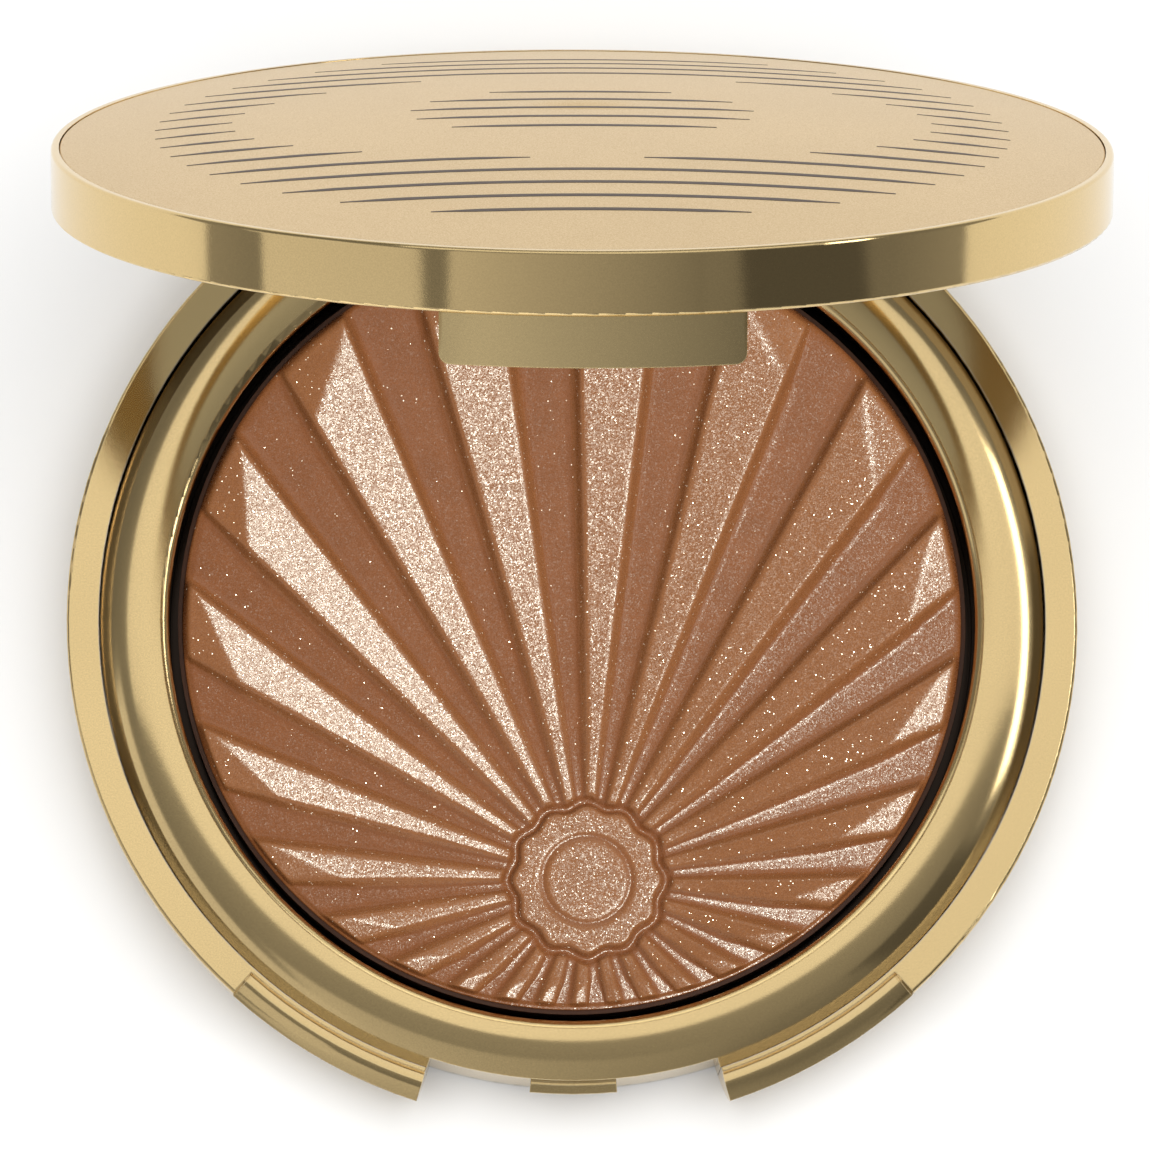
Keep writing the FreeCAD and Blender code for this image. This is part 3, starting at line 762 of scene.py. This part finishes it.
def make_powder():
    """The pressed cake: a disc with its relief on spokes from the ray centre, as one closed mesh.
    Each point keeps its coat of pearl and the lean of its flakes, for the finish."""
    low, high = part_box("powder_cake")
    radius = 0.5 * (high.x - low.x)
    field = high.z - FIELD_DROP
    spokes = [(angle, reach_to_rim(angle, radius)) for angle in spoke_angles()]
    points, pearls, lies = [], [], []

    def add_point(distance, angle, height, pearl=0.0, lean=0.0):
        out_x, out_y = math.sin(angle), math.cos(angle)
        points.append((RAY_CENTRE[0] + distance * out_x, RAY_CENTRE[1] + distance * out_y, height))
        pearls.append(pearl)
        lies.extend((-lean * out_x, -lean * out_y, 0.0))

    add_point(0.0, 0.0, field + EMBLEM_RISE, pearl=1.0)
    for ring in range(1, INNER_RINGS + OUTER_RINGS + 1):
        for angle, rim in spokes:
            distance = ring_distance(ring, rim)
            height, pearl, lean = powder_height(distance, angle, rim, radius)
            add_point(distance, angle, field + height, pearl, lean)
    for angle, rim in spokes:
        add_point(rim, angle, low.z)
    add_point(0.0, 0.0, low.z)

    mesh = bpy.data.meshes.new("powder_relief")
    mesh.from_pydata(points, [], disc_faces(INNER_RINGS + OUTER_RINGS + 1, len(spokes)))
    mesh.attributes.new("pearl", "FLOAT", "POINT").data.foreach_set("value", pearls)
    mesh.attributes.new("lie", "FLOAT_VECTOR", "POINT").data.foreach_set("vector", lies)
    mesh.polygons.foreach_set("use_smooth", [True] * len(mesh.polygons))
    turn_outward(mesh)
    mesh.materials.append(pressed_powder())
    powder = add_object("powder_relief", mesh)
    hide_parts("powder_cake")
    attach(powder, "base")
    return powder


def turn_outward(mesh):
    work = bmesh.new()
    work.from_mesh(mesh)
    bmesh.ops.recalc_face_normals(work, faces=work.faces)
    work.to_mesh(mesh)
    work.free()


# ---------------------------------------------------------------- lines inlaid in the lid

# The lines run across the shut lid, one behind the other from LINE_FIRST at the hinge's side.
# They keep to a ring with an oval opening, and to an oval in it, each given as (half width, half
# height). A line is narrow at its tips, LINE_TIP of its width, and stands proud by LINE_STAND.
LINE_COUNT = 18
LINE_PITCH = 3.44 * MM
LINE_FIRST = 28.43 * MM
LINE_WIDTH = 0.62 * MM
LINE_TIP = 0.25
LINE_TAPER = (-0.2 * MM, 4.0 * MM)
LINE_STAND = 0.020 * MM
LINE_STEP = 0.8 * MM
LINE_SHORTEST = 1.0 * MM
RING_OUTER = (32.2 * MM, 32.2 * MM)
RING_INNER = (26.4 * MM, 16.5 * MM)
DISC = (13.0 * MM, 9.2 * MM)
ABOVE_LID = 40.0 * MM


def chord(y, oval):
    """Half the width, at height y, of an oval. 0 outside it."""
    across, up = oval
    return across * math.sqrt(max(0.0, 1.0 - (y / up) ** 2))


def line_stretches(y):
    """The stretches of one line, as (start, end)."""
    outer, inner, disc = chord(y, RING_OUTER), chord(y, RING_INNER), chord(y, DISC)
    stretches = [(-outer, outer)] if inner == 0.0 else [(-outer, -inner), (inner, outer)]
    if disc > 0.0:
        stretches.append((-disc, disc))
    return [(start, end) for start, end in stretches if end - start > LINE_SHORTEST]


def lid_swing():
    """The turn that carries a point from the shut lid to where the lid rests in the frame."""
    pivot = Matrix.Translation(HINGE["pos_m"])
    opened = -math.radians(HINGE["range_deg"][0])
    return pivot @ Matrix.Rotation(opened, 4, Vector(HINGE["axis"])) @ pivot.inverted()


def add_line(work, surface, swing, y, start, end):
    """One inlaid line: a thin strip, tapered at its ends, that follows the plate's dome."""
    steps = max(4, round((end - start) / LINE_STEP))
    above = Vector((0.0, 0.0, ABOVE_LID))
    up = (swing.to_3x3() @ Vector((0.0, 0.0, 1.0))).normalized()
    left, right = [], []
    for step in range(steps + 1):
        x = start + (end - start) * step / steps
        from_end = min(x - start, end - x)
        width = LINE_WIDTH * (LINE_TIP + (1.0 - LINE_TIP) * smooth(from_end, *LINE_TAPER))
        for side, row in ((0.5 * width, left), (-0.5 * width, right)):
            ray = swing @ (Vector((x, y + side, 0.0)) + above)
            hit = surface.ray_cast(ray, -up)[0]
            upper = work.verts.new(hit + LINE_STAND * up)
            lower = work.verts.new(hit - LINE_STAND * up)
            row.append((upper, lower))
    for k in range(steps):
        (a, a_low), (b, b_low) = left[k], left[k + 1]
        (c, c_low), (d, d_low) = right[k], right[k + 1]
        work.faces.new((a, b, d, c))
        work.faces.new((a_low, c_low, d_low, b_low))
        work.faces.new((a, a_low, b_low, b))
        work.faces.new((c, d, d_low, c_low))
    for k in (0, steps):
        work.faces.new((left[k][0], right[k][0], right[k][1], left[k][1]))


def make_lines():
    surface = BVHTree.FromObject(NODES["lid_top_plate"], bpy.context.evaluated_depsgraph_get())
    swing = lid_swing()
    work = bmesh.new()
    for row in range(LINE_COUNT):
        y = LINE_FIRST - LINE_PITCH * row
        for start, end in line_stretches(y):
            add_line(work, surface, swing, y, start, end)
    bmesh.ops.recalc_face_normals(work, faces=work.faces)
    mesh = bpy.data.meshes.new("lid_lines")
    work.to_mesh(mesh)
    work.free()
    mesh.materials.append(inlay_brown())
    lines = add_object("lid_lines", mesh)
    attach(lines, "lid")
    return lines


bpy.context.scene.view_settings.view_transform = "Standard"
make_camera()
make_world()
the_floor = make_floor()
dress_nodes()
the_powder = make_powder()
the_lines = make_lines()
make_lights(the_floor, the_powder, list(NODES.values()) + [the_lines])
make_cards()
